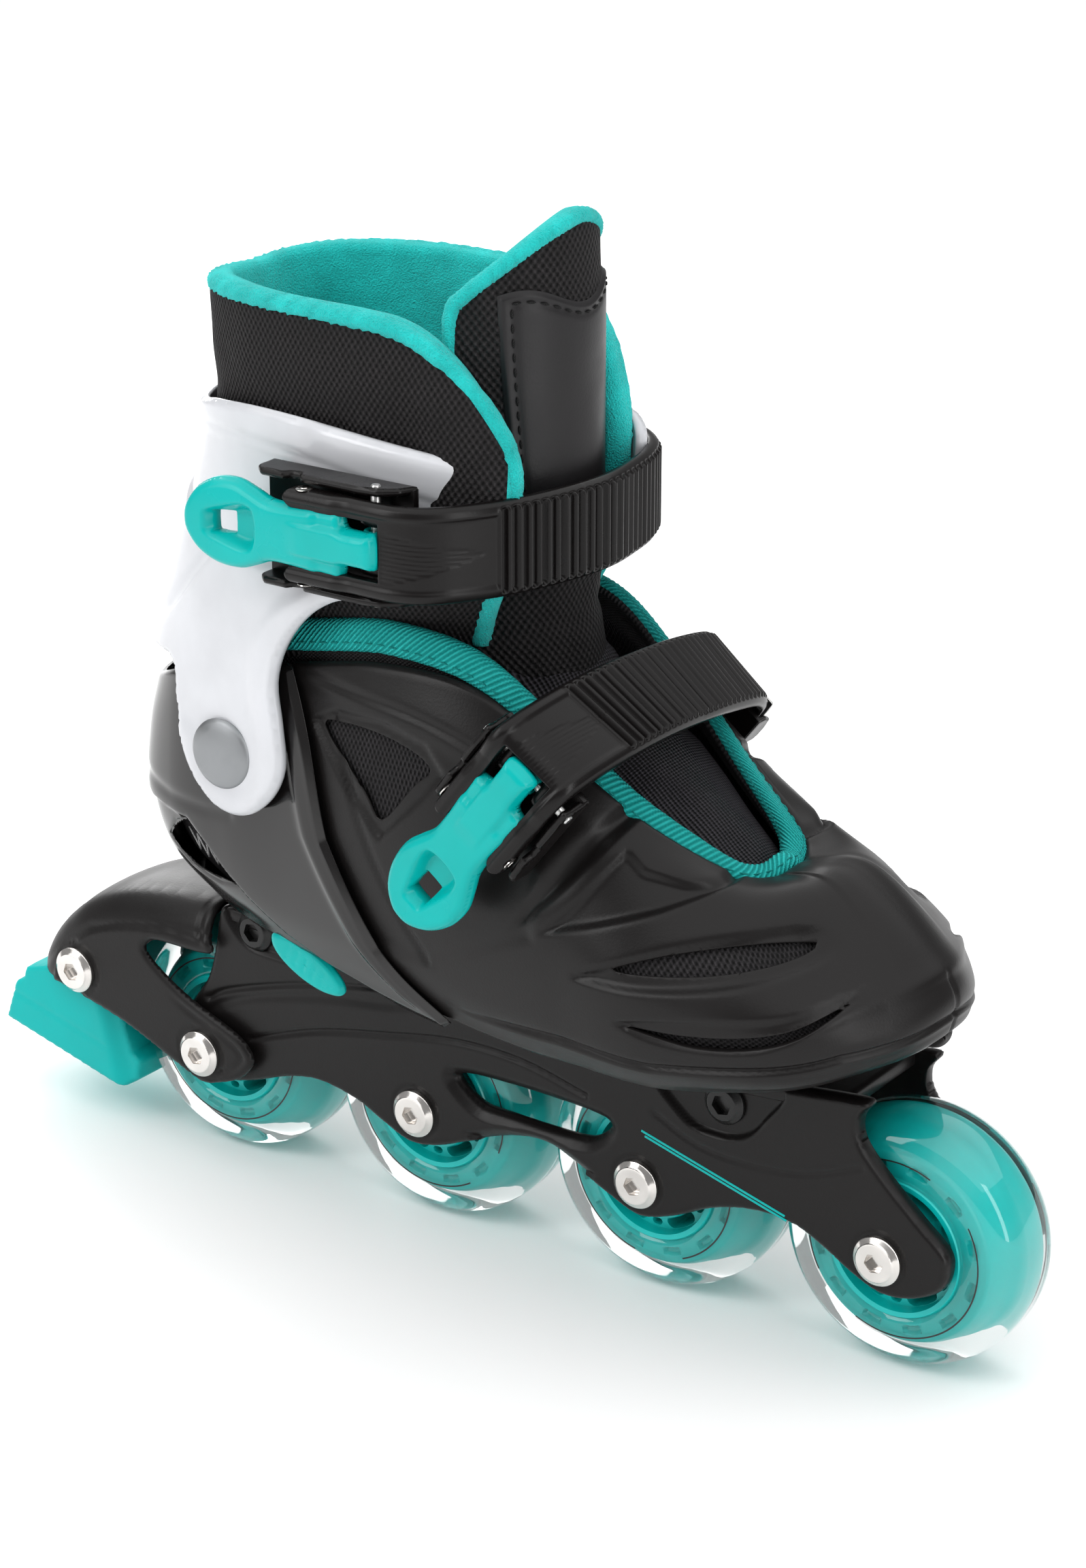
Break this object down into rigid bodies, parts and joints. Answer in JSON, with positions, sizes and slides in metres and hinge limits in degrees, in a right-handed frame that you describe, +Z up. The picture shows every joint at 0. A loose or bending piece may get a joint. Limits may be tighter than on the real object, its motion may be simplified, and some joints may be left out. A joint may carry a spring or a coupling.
{
  "type": "inline skate",
  "caption": "Adjustable hardboot inline skate with pivoting cuff, ratchet buckles, padded boot, wheel frame and heel brake.",
  "frame": {"origin": "on the ground under the middle of the bounding box", "axes": "+X towards the toe, +Y towards the inner side of the foot, +Z up"},
  "size_m": [0.3062, 0.1022, 0.261],
  "materials": {
    "clear_tyre": "clear polyurethane, glossy",
    "teal_plastic": "moulded teal, semi gloss",
    "bearing_steel": "satin steel",
    "nickel": "nickel plated",
    "frame_black": "fine grained black",
    "black_screw": "black oxide",
    "brake_rubber": "teal rubber",
    "heel_black": "glossy black",
    "boot_fabric": "black padded mesh with teal fleece",
    "shell_black": "satin charcoal",
    "white_plastic": "glossy white",
    "rivet_grey": "dull grey metal",
    "buckle_black": "semi matte black"
  },
  "bodies": {
    "chassis": {"frame": "frame_black", "front_mount_bolt": "black_screw", "rear_mount_bolt": "black_screw", "brake_arm": "frame_black", "brake_pad": "brake_rubber", "brake_bolt": "nickel", "rear_shell": "heel_black", "button_spring": "bearing_steel", "heel_lining": "boot_fabric", "footbed": "boot_fabric", "wheel_1_axle": "nickel", "wheel_1_axle_nut": "nickel", "wheel_2_axle": "nickel", "wheel_2_axle_nut": "nickel", "wheel_3_axle": "nickel", "wheel_3_axle_nut": "nickel", "wheel_4_axle": "nickel", "wheel_4_axle_nut": "nickel"},
    "wheel_1": {"wheel_1_tyre": "clear_tyre", "wheel_1_hub": "teal_plastic", "wheel_1_outer_bearing": "bearing_steel", "wheel_1_inner_bearing": "bearing_steel"},
    "wheel_2": {"wheel_2_tyre": "clear_tyre", "wheel_2_hub": "teal_plastic", "wheel_2_outer_bearing": "bearing_steel", "wheel_2_inner_bearing": "bearing_steel"},
    "wheel_3": {"wheel_3_tyre": "clear_tyre", "wheel_3_hub": "teal_plastic", "wheel_3_outer_bearing": "bearing_steel", "wheel_3_inner_bearing": "bearing_steel"},
    "wheel_4": {"wheel_4_tyre": "clear_tyre", "wheel_4_hub": "teal_plastic", "wheel_4_outer_bearing": "bearing_steel", "wheel_4_inner_bearing": "bearing_steel"},
    "toe": {"toe_shell": "shell_black", "toe_lining": "boot_fabric", "tongue_lower": "boot_fabric", "lower_buckle_base": "buckle_black", "lower_hinge_pin": "bearing_steel", "lower_base_rivet": "bearing_steel", "lower_receiver": "buckle_black"},
    "cuff": {"cuff": "white_plastic", "cuff_rivet_outer": "rivet_grey", "cuff_rivet_inner": "rivet_grey", "collar": "boot_fabric", "tongue_upper": "boot_fabric", "upper_buckle_base": "buckle_black", "upper_hinge_pin": "bearing_steel", "upper_base_rivet": "bearing_steel", "upper_receiver": "buckle_black"},
    "push_button": {"size_button": "teal_plastic"},
    "upper_lever": {"upper_lever": "teal_plastic"},
    "upper_strap": {"upper_strap": "buckle_black", "upper_strap_pin": "nickel"},
    "upper_pawl": {"upper_pawl": "nickel"},
    "lower_lever": {"lower_lever": "teal_plastic"},
    "lower_strap": {"lower_strap": "buckle_black", "lower_strap_pin": "nickel"},
    "lower_pawl": {"lower_pawl": "nickel"}
  },
  "joints": [
    {"name": "wheel_1_spin", "type": "hinge", "parent": "chassis", "child": "wheel_1", "pos_m": [-0.0799, 0.0039, 0.032], "axis": [0, 1, 0], "continuous": true},
    {"name": "wheel_2_spin", "type": "hinge", "parent": "chassis", "child": "wheel_2", "pos_m": [-0.0129, 0.0039, 0.032], "axis": [0, 1, 0], "continuous": true},
    {"name": "wheel_3_spin", "type": "hinge", "parent": "chassis", "child": "wheel_3", "pos_m": [0.0541, 0.0039, 0.032], "axis": [0, 1, 0], "continuous": true},
    {"name": "wheel_4_spin", "type": "hinge", "parent": "chassis", "child": "wheel_4", "pos_m": [0.1211, 0.0039, 0.032], "axis": [0, 1, 0], "continuous": true},
    {"name": "toe_slide", "type": "slide", "parent": "chassis", "child": "toe", "axis": [1, 0, 0], "range_m": [0, 0.02]},
    {"name": "button_press", "type": "slide", "parent": "chassis", "child": "push_button", "axis": [0, 1, 0], "range_m": [0, 0.003], "stiffness_N_per_m": 400},
    {"name": "cuff_flex", "type": "hinge", "parent": "chassis", "child": "cuff", "pos_m": [-0.0524, 0.0039, 0.127], "axis": [0, 1, 0], "range_deg": [-2, 8], "stiffness_Nm_per_rad": 10},
    {"name": "upper_lever_hinge", "type": "hinge", "parent": "cuff", "child": "upper_lever", "pos_m": [-0.0004, -0.0425, 0.19], "axis": [0, 0, 1], "range_deg": [0, 80]},
    {"name": "upper_strap_slide", "type": "slide", "parent": "cuff", "child": "upper_strap", "axis": [1, 0, 0], "range_m": [0, 0.0126]},
    {"name": "upper_pawl_hinge", "type": "hinge", "parent": "cuff", "child": "upper_pawl", "pos_m": [-0.0039, 0.0499, 0.19], "axis": [0, 0, 1], "range_deg": [0, 25], "stiffness_Nm_per_rad": 0.05},
    {"name": "lower_lever_hinge", "type": "hinge", "parent": "toe", "child": "lower_lever", "pos_m": [0.0428, -0.0442, 0.1444], "axis": [-0.7848, 0, 0.6198], "range_deg": [0, 80]},
    {"name": "lower_strap_slide", "type": "slide", "parent": "toe", "child": "lower_strap", "axis": [0.6198, 0, 0.7848], "range_m": [0, 0.0126]},
    {"name": "lower_pawl_hinge", "type": "hinge", "parent": "toe", "child": "lower_pawl", "pos_m": [0.03505, 0.0499, 0.13459], "axis": [-0.7848, 0, 0.6198], "range_deg": [0, 25], "stiffness_Nm_per_rad": 0.05}
  ],
  "couplings": [
    {"joint": "upper_strap_slide", "follows": "upper_lever_hinge", "m_per_rad": 0.009},
    {"joint": "lower_strap_slide", "follows": "lower_lever_hinge", "m_per_rad": 0.009}
  ]
}
